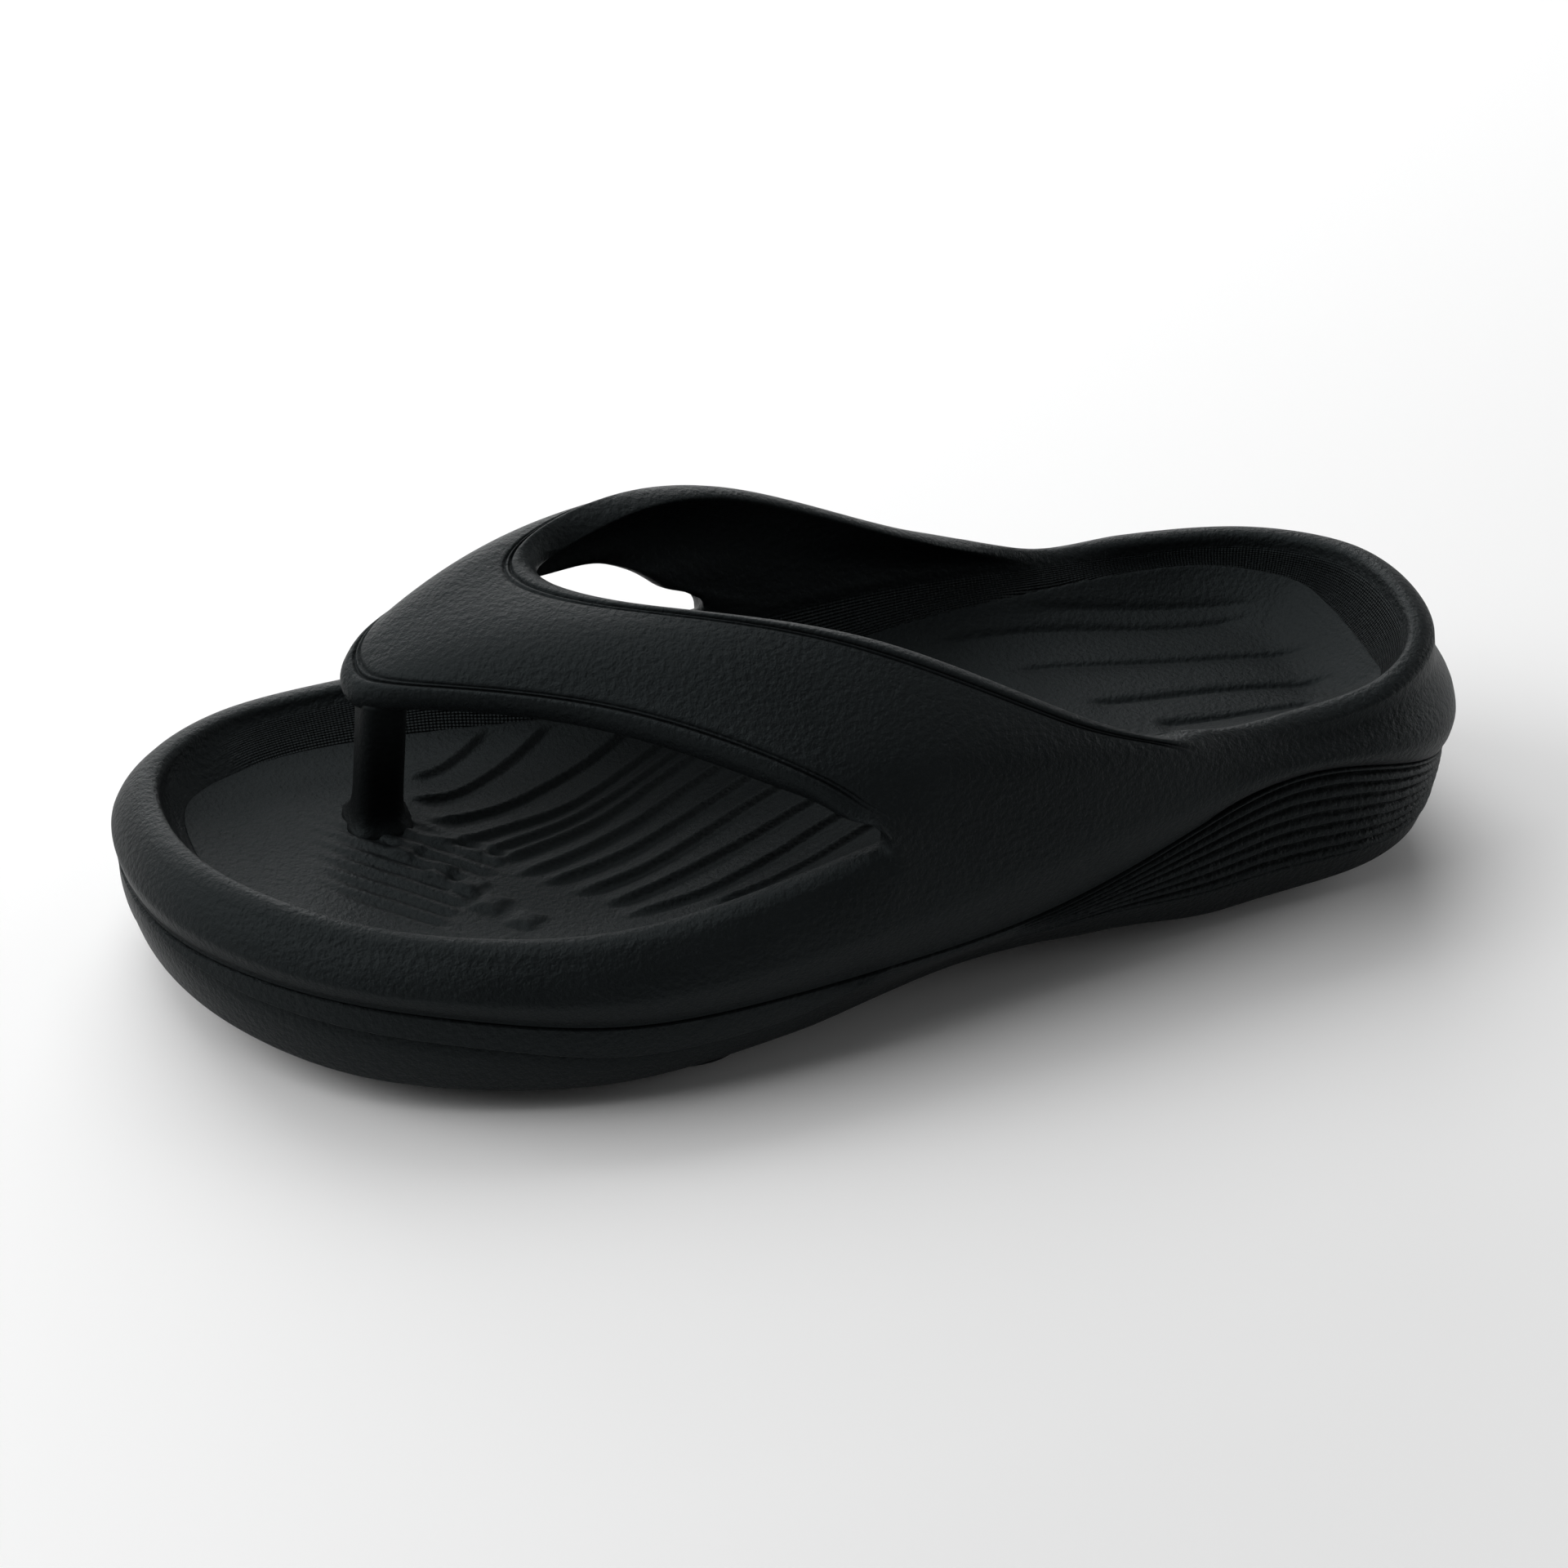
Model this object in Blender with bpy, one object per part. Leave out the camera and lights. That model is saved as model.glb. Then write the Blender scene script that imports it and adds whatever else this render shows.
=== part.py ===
"""Left flip flop: a moulded foam thong sandal with a deep rimmed footbed and a broad V strap.

Frame: origin under the middle of the shoe on the ground, +Y to the toe, +X to the medial
(big toe) side, +Z up. Dimensions below are in millimetres, measured from the back of the heel,
and the meshes are made in metres, centred on the outline.
"""
import math

import bmesh
import bpy
import numpy as np
from mathutils.bvhtree import BVHTree

MM = 0.001
GAP = 0.35                       # clearance between bonded pieces, mm

# ---- outline: x, y of the widest contour, rim height, parting height; heel to toe ----
HEEL_TIP = (-2, 0, 56, 27)
LATERAL_SIDE = (
    (-26, 6, 55, 27.5), (-38.5, 25, 51.5, 34), (-41.5, 50, 49.5, 37.5), (-46, 78, 52.5, 30.5),
    (-51, 108, 50, 23), (-56, 138, 46.5, 21.5), (-60, 168, 42, 21.5), (-60, 198, 38.5, 22),
    (-53, 227, 38, 25), (-40, 252, 39, 26.5), (-16, 273, 40, 26),
)
TOE_TIP = (14, 280, 38, 24)
MEDIAL_SIDE = (
    (23, 6, 54, 28), (39.5, 26, 51.5, 34.5), (45, 50, 50.5, 38.5), (44.5, 78, 51.5, 32),
    (44, 108, 53, 25), (43.5, 138, 52, 22), (45.5, 168, 47.5, 21), (51.5, 198, 41.5, 21),
    (54, 227, 38, 23), (50.5, 252, 37.5, 25), (37, 273.5, 37.5, 25),
)
SAMPLES_PER_STATION = 3

# ---- upper shell ----
PARTING_INSET = 1.0
BULGE_RISE = 6.0                 # widest contour above the parting line
CREST_INSET = ((0, 9), (30, 8), (90, 8), (140, 9), (200, 9.3), (280, 11))
CREST_HALF_WIDTH = 4.3
CREST_ROUNDING = 1.6
ROOT_FADE = 12.0                 # the rim's rounding comes back over this length past a strap root
FLOOR_INSET = ((0, 20), (14, 15.5), (40, 13.5), (140, 15), (220, 16), (280, 15))
FLOOR_HEIGHT = ((0, 38), (60, 38), (95, 37), (130, 33.5), (165, 30), (200, 28), (250, 28), (280, 29))
SHELL_FLOOR = 3.0
WALL_FOOT_RISE = 1.0             # the inner wall turns down into the tray this far above the floor
INTERFACE_INSET = 11.0

# ---- footbed pad ----
FOOTBED_THICKNESS = 4.0
FOOTBED_CLEARANCE = 0.5
FOOTBED_EDGE = 1.5, 1.0          # the pad's top edge: how far it leans in, and how far it drops

# ---- lower sole ----
LATERAL_FOOT = (
    (0, 3.5, 10), (25, 6, 6), (60, 5.5, 5), (90, 7, 9), (120, 7.8, 11), (160, 5, 9), (205, 3.2, 6.5),
    (245, 2.5, 8), (280, 2.6, 13),
)
MEDIAL_FOOT = (
    (0, 3.5, 10), (25, 4, 6.5), (60, 4, 5.5), (120, 5.5, 8), (170, 4.1, 6), (210, 4.1, 5.6),
    (250, 4, 8), (280, 2.6, 12),
)
SOLE_BOTTOM = ((0, 5), (18, 3), (92, 3), (112, 6), (140, 6), (160, 3), (245, 3), (262, 4.5), (280, 9))
FOOT_ROUNDING = 8.0
SIDE_TUCK = 2.0

# ---- grips under the sole ----
GRIP_THICKNESS = 3.0 - GAP
FOREFOOT_GRIP = ((-42, 166), (-46, 200), (-38, 230), (-14, 250), (18, 252), (38, 236), (41, 204), (34, 168))
HEEL_GRIP = ((-28, 84), (-29, 52), (-25, 28), (-8, 16), (12, 16), (29, 28), (34, 52), (32, 84))

# ---- strap: edges of its outer face, from the lateral root over the nose to the medial root ----
FRONT_EDGE = (
    (-47, 141, 46), (-40, 159, 58.5), (-16.5, 192, 64.5), (5, 225, 61.5), (14.5, 233.5, 59.5),
    (27, 226, 62.5), (41, 194, 65), (41, 170, 61), (34.5, 151, 51),
)
REAR_EDGE = (
    (-38.6, 66, 49.3), (-37.5, 93, 58.2), (-21, 136, 75.5), (1, 176, 77.5), (23.5, 191.5, 75.5),
    (36, 178, 78), (41.5, 148, 76.5), (37.8, 111, 63), (35.5, 75, 51.8),
)
STRAP_THICKNESS = 5.5
STRAP_CROWN = 3.5
ROOT_GAP = 0.6                   # between the strap's roots and the rim
STRAP_STEPS = 48
STRAP_WIDTH_STEPS = 9
ROOT_STEPS = 4                   # sections near each root that are kept above the rim

# ---- toe post ----
POST_CENTRE = (13, 227.5)
POST_LEAN = 2.0                  # the top stands this much nearer the heel than the foot
POST_HALF = (5.2, 4.7)
POST_FLARE = 3.4
POST_FLARE_HEIGHT = 4.0
POST_NECK = 0.8                  # what is left of the flare at half its height
POST_FLARE_SQUARENESS = 2.5
CUT_OVERRUN = 3.0                # a cutter reaches this far past the face it cuts
POST_FLANGE_HALF = 10.5
POST_FLANGE_THICKNESS = 2.4
POST_SIDES = 24
POST_SQUARENESS = 4.0

# ---- finishes: colour, roughness ----
FOAM_BLACK = (0.012, 0.012, 0.013, 1), 0.46
FOOTBED_BLACK = (0.014, 0.014, 0.015, 1), 0.62
POST_BLACK = (0.009, 0.009, 0.010, 1), 0.40
RUBBER_BLACK = (0.016, 0.016, 0.016, 1), 0.75


def clear_scene():
    for obj in list(bpy.data.objects):
        bpy.data.objects.remove(obj)


def make_collection(name):
    made = bpy.data.collections.new(name)
    bpy.context.scene.collection.children.link(made)
    return made


def make_material(name, finish):
    made = bpy.data.materials.new(name)
    made.use_nodes = True
    shader = made.node_tree.nodes["Principled BSDF"]
    shader.inputs["Base Color"].default_value = finish[0]
    shader.inputs["Roughness"].default_value = finish[1]
    shader.inputs["Metallic"].default_value = 0.0
    return made


def ease(knots, at):
    """A smooth curve through (position, value, ...) knots that never swings past a knot."""
    knots = np.array(knots, float)
    place = knots[:, 0]
    secant = np.diff(knots[:, 1:], axis=0) / np.diff(place)[:, None]
    before, after = np.vstack([secant[:1], secant]), np.vstack([secant, secant[-1:]])
    steady = before * after > 0
    slope = np.where(steady, 2 * before * after / np.where(steady, before + after, 1), 0)
    at = np.clip(at, place[0], place[-1])
    k = np.clip(np.searchsorted(place, at, side="right") - 1, 0, len(place) - 2)
    span = place[k + 1] - place[k]
    t = ((at - place[k]) / span)[:, None]
    rise = span[:, None]
    start = knots[k, 1:] * (1 + 2 * t) * (1 - t) ** 2 + slope[k] * rise * t * (1 - t) ** 2
    end = knots[k + 1, 1:] * t * t * (3 - 2 * t) - slope[k + 1] * rise * t * t * (1 - t)
    return (start + end)[:, 0] if knots.shape[1] == 2 else start + end


def second_slopes(points, closed):
    """Second derivatives, for unit steps, of the cubic spline through the points."""
    count = len(points)
    matrix = np.eye(count) * 4 + np.eye(count, k=1) + np.eye(count, k=-1)
    bend = 6 * (np.roll(points, 1, 0) - 2 * points + np.roll(points, -1, 0))
    if closed:
        matrix[0, -1] = matrix[-1, 0] = 1
    else:
        matrix[[0, -1]] = np.eye(count)[[0, -1]]
        bend[[0, -1]] = 0
    return np.linalg.solve(matrix, bend)


def spline(points, at, closed=False):
    """The cubic spline through the points, read at fractional indices, and its derivative."""
    points = np.array(points, float)
    bend = second_slopes(points, closed)
    k = np.floor(at).astype(int) if closed else np.minimum(at.astype(int), len(points) - 2)
    t = (at - k)[:, None]
    k = k % len(points)
    after = (k + 1) % len(points)
    a, b, m, n = points[k], points[after], bend[k], bend[after]
    place = (m * (1 - t) ** 3 + n * t ** 3) / 6 + (a - m / 6) * (1 - t) + (b - n / 6) * t
    slope = (n * t ** 2 - m * (1 - t) ** 2) / 2 + (b - n / 6) - (a - m / 6)
    return place, slope


class Outline:
    """The widest contour of the shoe, sampled so that point i faces point -i across the shoe."""

    def __init__(self):
        stations = [HEEL_TIP, *LATERAL_SIDE, TOE_TIP, *reversed(MEDIAL_SIDE)]
        self.count = len(stations) * SAMPLES_PER_STATION
        at = np.arange(self.count) / SAMPLES_PER_STATION
        place, slope = spline(stations, at, closed=True)
        self.xy = place[:, :2]
        self.rim = place[:, 2]
        self.parting = place[:, 3]
        along = slope[:, :2] / np.linalg.norm(slope[:, :2], axis=1, keepdims=True)
        self.inward = np.column_stack([along[:, 1], -along[:, 0]])
        self.y = self.xy[:, 1]
        self.lateral = np.arange(self.count) < self.count // 2
        self.middle = (self.xy.min(0) + self.xy.max(0)) / 2

    def ring(self, inset, height):
        """The contour moved inward by `inset`, at `height`."""
        inset = np.broadcast_to(inset, self.count)[:, None]
        flat = self.xy + self.inward * inset
        return np.column_stack([flat, np.broadcast_to(height, self.count)])

    def level_ring(self, inset, heights, shift=0.0):
        """The contour moved inward, at the height that `heights` gives for each point's own y."""
        ring = self.ring(inset, 0.0)
        ring[:, 2] = ease(heights, ring[:, 1]) + shift
        return ring

    def root_zone(self):
        """1 where the strap stands on the rim, falling to 0 over a few millimetres past it."""
        front = np.where(self.lateral, FRONT_EDGE[0][1], FRONT_EDGE[-1][1])
        rear = np.where(self.lateral, REAR_EDGE[0][1], REAR_EDGE[-1][1])
        past = np.maximum(rear - self.y, self.y - front)
        return np.clip(1 - past / ROOT_FADE, 0, 1)


def link_mesh(name, points, faces, outline, material, collection):
    """A mesh object from points in millimetres, centred on the outline."""
    centred = np.array(points) - np.array([*outline.middle, 0])
    mesh = bpy.data.meshes.new(name)
    mesh.from_pydata((centred * MM).tolist(), [], [list(face) for face in faces])
    mesh.validate()
    tidy = bmesh.new()
    tidy.from_mesh(mesh)
    bmesh.ops.recalc_face_normals(tidy, faces=tidy.faces)
    tidy.to_mesh(mesh)
    tidy.free()
    mesh.shade_smooth()
    mesh.set_sharp_from_angle(angle=math.radians(40))
    made = bpy.data.objects.new(name, mesh)
    collection.objects.link(made)
    if material:
        made.data.materials.append(material)
    return made


def loft(rings, closing):
    """Points and faces of rings joined in turn; `closing` caps both ends or joins them."""
    count = len(rings[0])
    points = np.vstack(rings)
    faces = []
    for level in range(len(rings) - 1):
        low, high = level * count, (level + 1) * count
        for i in range(count):
            j = (i + 1) % count
            faces.append((low + i, low + j, high + j, high + i))
    for level in (0, len(rings) - 1):
        faces.extend(closing(level * count, count))
    return points, faces


def across(first, count):
    """Cap faces joining point i to the point facing it across the shoe."""
    half = count // 2
    faces = [(first, first + 1, first + count - 1)]
    for i in range(1, half - 1):
        faces.append((first + i, first + i + 1, first + count - i - 1, first + count - i))
    faces.append((first + half - 1, first + half, first + half + 1))
    return faces


def fan(first, count):
    """One flat cap face."""
    return [tuple(range(first, first + count))]


def build_upper_shell(outline, material, collection):
    crest = ease(CREST_INSET, outline.y)
    floor = ease(FLOOR_INSET, outline.y)
    rounding = CREST_ROUNDING * (1 - outline.root_zone())
    tray = -FOOTBED_THICKNESS - GAP
    rings = [
        outline.level_ring(INTERFACE_INSET, FLOOR_HEIGHT, tray - SHELL_FLOOR),
        outline.ring(PARTING_INSET, outline.parting),
        outline.ring(0, outline.parting + BULGE_RISE),
        outline.ring(crest - CREST_HALF_WIDTH, outline.rim - rounding),
        outline.ring(crest, outline.rim),
        outline.ring(crest + CREST_HALF_WIDTH, outline.rim - rounding),
        outline.level_ring(floor, FLOOR_HEIGHT, WALL_FOOT_RISE),
        outline.level_ring(floor, FLOOR_HEIGHT, tray),
    ]
    points, faces = loft(rings, across)
    return link_mesh("upper_shell", points, faces, outline, material, collection)


def build_footbed(outline, material, collection):
    inset = ease(FLOOR_INSET, outline.y) + FOOTBED_CLEARANCE
    lean, drop = FOOTBED_EDGE
    rings = [
        outline.level_ring(inset, FLOOR_HEIGHT, -FOOTBED_THICKNESS),
        outline.level_ring(inset, FLOOR_HEIGHT, -drop),
        outline.level_ring(inset + lean, FLOOR_HEIGHT, 0.0),
    ]
    points, faces = loft(rings, across)
    return link_mesh("footbed", points, faces, outline, material, collection)


def build_lower_sole(outline, material, collection):
    lateral = ease(LATERAL_FOOT, outline.y)
    medial = ease(MEDIAL_FOOT, outline.y)
    foot = np.where(outline.lateral[:, None], lateral, medial)
    under_shell = -FOOTBED_THICKNESS - SHELL_FLOOR - 2 * GAP
    middle_height = (outline.parting + foot[:, 1]) / 2
    rings = [
        outline.level_ring(INTERFACE_INSET, FLOOR_HEIGHT, under_shell),
        outline.ring(PARTING_INSET, outline.parting - GAP),
        outline.ring(foot[:, 0] * 0.5 + SIDE_TUCK * 0.5, middle_height),
        outline.ring(foot[:, 0], foot[:, 1]),
        outline.level_ring(foot[:, 0] + FOOT_ROUNDING, SOLE_BOTTOM),
    ]
    points, faces = loft(rings, across)
    return link_mesh("lower_sole", points, faces, outline, material, collection)


def strap_faces_of(outline):
    """The strap's outer and inner faces as grids of points: along the strap, front to rear."""
    at = np.linspace(0, len(FRONT_EDGE) - 1, STRAP_STEPS + 1)
    front, front_slope = spline(FRONT_EDGE, at)
    rear, rear_slope = spline(REAR_EDGE, at)
    width = np.linspace(0, 1, STRAP_WIDTH_STEPS + 1)[None, :, None]
    flat = front[:, None] * (1 - width) + rear[:, None] * width
    along = front_slope[:, None] * (1 - width) + rear_slope[:, None] * width
    outward = np.cross(np.broadcast_to((rear - front)[:, None], along.shape), along)
    outward /= np.linalg.norm(outward, axis=2, keepdims=True)
    if outward[STRAP_STEPS // 2, 0, 2] < 0:
        outward = -outward
    outer = flat + outward * STRAP_CROWN * 4 * width * (1 - width)
    inner = outer - outward * STRAP_THICKNESS
    last = STRAP_STEPS
    for end, side in ((0, outline.lateral), (last, ~outline.lateral)):
        order = np.argsort(outline.y[side])
        for face in (outer, inner):
            for step in range(ROOT_STEPS):
                row = face[abs(end - step)]
                rim = np.interp(row[:, 1], outline.y[side][order], outline.rim[side][order])
                row[:, 2] = np.maximum(row[:, 2] * (step > 0), rim + ROOT_GAP)
    return outer, inner


def build_strap(outline, material, collection):
    outer, inner = strap_faces_of(outline)
    sections = [np.vstack([a, b[::-1]]) for a, b in zip(outer, inner)]
    half = STRAP_WIDTH_STEPS + 1

    def end_cap(first, count):
        return [(first + i, first + i + 1, first + count - 2 - i, first + count - 1 - i)
                for i in range(half - 1)]

    points, faces = loft(sections, end_cap)
    return link_mesh("strap", points, faces, outline, material, collection)


def rounded_section(half_x, half_y, height, squareness=POST_SQUARENESS):
    """A rounded rectangle about the post's centre; squareness 2 is an ellipse."""
    turn = np.arange(POST_SIDES) * 2 * math.pi / POST_SIDES
    power = 2 / squareness
    x = POST_CENTRE[0] + half_x * np.sign(np.cos(turn)) * np.abs(np.cos(turn)) ** power
    y = POST_CENTRE[1] + half_y * np.sign(np.sin(turn)) * np.abs(np.sin(turn)) ** power
    return np.column_stack([x, y, np.full(POST_SIDES, height)])


def build_toe_post(outline, strap, material, collection):
    floor = ease(FLOOR_HEIGHT, np.array([POST_CENTRE[1]]))[0]
    seat = floor - FOOTBED_THICKNESS - SHELL_FLOOR - 2 * GAP
    half_x, half_y = POST_HALF
    flange = POST_FLANGE_HALF
    flare_x, flare_y = half_x + POST_FLARE, half_y + POST_FLARE
    neck_x, neck_y = half_x + POST_NECK, half_y + POST_NECK
    top = rounded_section(half_x, half_y, floor + POST_FLARE_HEIGHT)
    top[:, 1] -= POST_LEAN
    surface = BVHTree.FromPolygons(
        [v.co for v in strap.data.vertices], [p.vertices[:] for p in strap.data.polygons])
    starts = (top - [*outline.middle, 0]) * MM
    above = np.array([surface.ray_cast(start.tolist(), (0, 0, 1))[0][2] for start in starts]) / MM
    slant = np.column_stack([top[:, :2], np.ones(POST_SIDES)])
    plane = slant @ np.linalg.lstsq(slant, above, rcond=None)[0]
    top[:, 2] = plane + np.min(above - plane) - GAP
    rings = [
        rounded_section(flange, flange, seat - POST_FLANGE_THICKNESS, 2),
        rounded_section(flange, flange, seat, 2),
        rounded_section(half_x, half_y, seat),
        rounded_section(half_x, half_y, floor + GAP),
        rounded_section(flare_x, flare_y, floor + GAP, POST_FLARE_SQUARENESS),
        rounded_section(neck_x, neck_y, floor + GAP + POST_FLARE_HEIGHT / 2),
        rounded_section(half_x, half_y, floor + GAP + POST_FLARE_HEIGHT),
        top,
    ]
    points, faces = loft(rings, fan)
    return link_mesh("toe_post", points, faces, outline, material, collection)


def build_post_cutters(outline, collection):
    """The post's hole through footbed and shell, and the flange's pocket in the lower sole."""
    floor = ease(FLOOR_HEIGHT, np.array([POST_CENTRE[1]]))[0]
    seat = floor - FOOTBED_THICKNESS - SHELL_FLOOR - 2 * GAP
    shaft_x, shaft_y = POST_HALF[0] + GAP, POST_HALF[1] + GAP
    pocket = POST_FLANGE_HALF + GAP
    hole_ends = seat - CUT_OVERRUN, floor + CUT_OVERRUN
    pocket_ends = seat - POST_FLANGE_THICKNESS - GAP, seat + CUT_OVERRUN
    hole = [rounded_section(shaft_x, shaft_y, height) for height in hole_ends]
    sunk = [rounded_section(pocket, pocket, height, 2) for height in pocket_ends]
    cutters = []
    for name, rings in (("post_hole_cutter", hole), ("flange_pocket_cutter", sunk)):
        points, faces = loft(rings, fan)
        cutter = link_mesh(name, points, faces, outline, None, collection)
        cutter.hide_render = True
        cutter.display_type = "WIRE"
        cutters.append(cutter)
    return cutters


def cut(part, cutter):
    step = part.modifiers.new("cut_" + cutter.name, "BOOLEAN")
    step.operation = "DIFFERENCE"
    step.solver = "EXACT"
    step.object = cutter


def build_grip(name, corners, outline, material, collection):
    """A flat tread pad: a smooth outline extruded to the grip's thickness, resting on z = 0."""
    curve = bpy.data.curves.new(name, "CURVE")
    curve.dimensions = "2D"
    curve.fill_mode = "BOTH"
    curve.extrude = GRIP_THICKNESS * MM / 2
    at = np.arange(len(corners) * 4) / 4
    rounded = (spline(corners, at, closed=True)[0] - outline.middle) * MM
    edge = curve.splines.new("POLY")
    edge.points.add(len(rounded) - 1)
    for point, (x, y) in zip(edge.points, rounded):
        point.co = (x, y, 0, 1)
    edge.use_cyclic_u = True
    grip = bpy.data.objects.new(name, curve)
    grip.location.z = GRIP_THICKNESS * MM / 2
    curve.materials.append(material)
    collection.objects.link(grip)
    return grip


def main():
    clear_scene()
    parts = make_collection("flip_flop")
    cutters = make_collection("flip_flop_cutters")
    foam = make_material("foam_black", FOAM_BLACK)
    padding = make_material("footbed_black", FOOTBED_BLACK)
    post_finish = make_material("post_black", POST_BLACK)
    rubber = make_material("rubber_black", RUBBER_BLACK)
    outline = Outline()
    shell = build_upper_shell(outline, foam, parts)
    footbed = build_footbed(outline, padding, parts)
    sole = build_lower_sole(outline, foam, parts)
    strap = build_strap(outline, foam, parts)
    build_toe_post(outline, strap, post_finish, parts)
    hole, pocket = build_post_cutters(outline, cutters)
    cut(shell, hole)
    cut(footbed, hole)
    cut(sole, pocket)
    build_grip("forefoot_grip", FOREFOOT_GRIP, outline, rubber, parts)
    build_grip("heel_grip", HEEL_GRIP, outline, rubber, parts)


main()
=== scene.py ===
"""Looks of the left flip flop: one moulded upper with its V strap, a grooved footbed, a ribbed
sole, the toe post and the tread pads.

The shoe's lines are the CAD source's own, in millimetres from the back of the heel, and the
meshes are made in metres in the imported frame: +Y to the toe, +X to the medial side, +Z up.
"""

import math

import bmesh
import bpy
import numpy as np
from mathutils import Matrix, Vector


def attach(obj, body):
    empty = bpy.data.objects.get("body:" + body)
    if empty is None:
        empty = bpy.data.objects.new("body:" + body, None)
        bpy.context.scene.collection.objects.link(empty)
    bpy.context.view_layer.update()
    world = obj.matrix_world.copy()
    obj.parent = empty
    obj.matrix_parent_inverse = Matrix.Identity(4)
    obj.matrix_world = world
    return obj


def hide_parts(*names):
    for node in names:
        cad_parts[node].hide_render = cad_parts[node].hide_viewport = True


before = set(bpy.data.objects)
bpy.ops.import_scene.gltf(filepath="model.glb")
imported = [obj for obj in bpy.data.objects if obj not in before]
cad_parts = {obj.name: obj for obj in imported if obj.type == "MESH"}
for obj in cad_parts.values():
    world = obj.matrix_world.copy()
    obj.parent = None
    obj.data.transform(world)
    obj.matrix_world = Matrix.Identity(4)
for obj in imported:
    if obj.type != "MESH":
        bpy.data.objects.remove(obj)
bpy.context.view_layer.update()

MM = 0.001

# ---- outline: x, y of the widest contour, rim height, parting height; heel to toe ----
HEEL_TIP = (-2, 0, 56, 27)
LATERAL_SIDE = (
    (-26, 6, 55, 27.5), (-38.5, 25, 51.5, 34), (-41.5, 50, 49.5, 37.5), (-46, 78, 52.5, 30.5),
    (-51, 108, 50, 23), (-56, 138, 46.5, 21.5), (-60, 168, 42, 21.5), (-60, 198, 38.5, 22),
    (-53, 227, 38, 25), (-40, 252, 39, 26.5), (-16, 273, 40, 26),
)
TOE_TIP = (14, 280, 38, 24)
MEDIAL_SIDE = (
    (23, 6, 54, 28), (39.5, 26, 51.5, 34.5), (45, 50, 50.5, 38.5), (44.5, 78, 51.5, 32),
    (44, 108, 53, 25), (43.5, 138, 52, 22), (45.5, 168, 47.5, 21), (51.5, 198, 41.5, 21),
    (54, 227, 38, 23), (50.5, 252, 37.5, 25), (37, 273.5, 37.5, 25),
)
STATIONS = (HEEL_TIP, *LATERAL_SIDE, TOE_TIP, *reversed(MEDIAL_SIDE))
TOE_STATION = len(STATIONS) // 2

# ---- upper: insets from the contour ----
HEEL_START = 100
HEEL_FADE = 75
LATERAL_CREST = ((0, 11), (30, 8.5), (90, 8), (140, 9), (200, 9.3), (245, 9.8), (280, 8.5))
MEDIAL_CREST = (
    (0, 11), (30, 8.5), (90, 8), (140, 9), (180, 8.5), (215, 6.5), (250, 6.5), (280, 8.5),
)
CREST_OUTER = 3.8
CREST_INNER = 1.8
CREST_DROP = 1.7
WALL_PROFILE = ((0, 1.6), (0.18, 0.6), (0.4, 0.1), (0.6, 1.0), (0.8, 2.6), (1, 5))
HEEL_PROFILE = (
    (0, 1.6), (0.14, 0.4), (0.28, 0.0), (0.46, 1.1), (0.56, 2.7), (0.67, 4.7), (0.77, 6.1),
    (0.87, 6.6), (1, 7.3),
)
FLOOR_INSET = ((0, 20), (14, 15.5), (40, 13.5), (140, 15), (220, 16), (280, 15))
FLOOR_HEIGHT = (
    (0, 38), (60, 38), (95, 37), (130, 33.5), (165, 30), (200, 28), (250, 28), (280, 29),
)
DISH_RISE = ((0, 6), (20, 7), (110, 7), (170, 3), (220, 1.5), (280, 1.2))
HEM_INSET = 7.0
LIP_INSET = 1.0
UPPER_LIP_TUCK = 0.6
SOLE_LIP_TUCK = 0.9
LIP_RISE = 0.45
PAD_TUCK = 1.2
KNURL_PITCH = 1.7
KNURL_WALL = 12
KNURL_RELIEF = 0.0003

# ---- strap: edges of its outer face, from the lateral root over the nose to the medial root ----
FRONT_EDGE = (
    (-47, 141, 46), (-40, 159, 58.5), (-16.5, 192, 64.5), (5, 225, 61.5), (14.5, 233.5, 59.5),
    (27, 226, 62.5), (41, 194, 65), (41, 170, 61), (34.5, 151, 51),
)
REAR_EDGE = (
    (-38.6, 66, 49.3), (-37.5, 93, 58.2), (-21, 136, 75.5), (1, 176, 77.5), (23.5, 191.5, 75.5),
    (36, 178, 78), (41.5, 148, 76.5), (37.8, 111, 63), (35.5, 75, 51.8),
)
STRAP_THICKNESS = 5.5
STRAP_CROWN = 3.5
EDGE_ROUND = 2.5
EDGE_REACH = 3.3
CREST_REACH = 2.3
BEAD_START = 2.0
BEAD_WIDTH = 2.5
BEAD_HEIGHT = 0.3
EDGE_GROOVES = ((4.6, 0.3, 1), (5.9, 0.28, 0.85))
EDGE_GROOVE_DEPTH = 0.7

# ---- strap roots: lengths in millimetres, or in steps between the edge points ----
ROOT_BLEND = 0.9
ROOT_SOFTNESS = 14.0
ROOT_ROUNDS = 150
FRONT_CORNER = (6, 12)
REAR_CORNER = (20, 80)
CORNER_LIFT = 3.5
LIFT_RISE = 0.12
LIFT_FALL = 0.5
LIFT_WIDTH = 0.2

# ---- sole ----
LATERAL_FOOT = (
    (0, 3.5, 10), (25, 6, 6), (60, 5.5, 5), (90, 7, 9), (120, 7.8, 11),
    (160, 5, 9), (205, 3.2, 6.5), (245, 2.5, 8), (280, 2.6, 13),
)
MEDIAL_FOOT = (
    (0, 3.5, 10), (25, 4, 6.5), (60, 4, 5.5), (120, 5.5, 8), (170, 4.1, 6), (210, 4.1, 5.6),
    (250, 4, 8), (280, 2.6, 12),
)
SOLE_BOTTOM = (
    (0, 5), (18, 3), (92, 3), (112, 6), (140, 6), (160, 3), (245, 3), (262, 4.5), (280, 9),
)
FOREFOOT_GRIP = (
    (-42, 166), (-46, 200), (-38, 230), (-14, 250), (18, 252), (38, 236), (41, 204), (34, 168),
)
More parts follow.
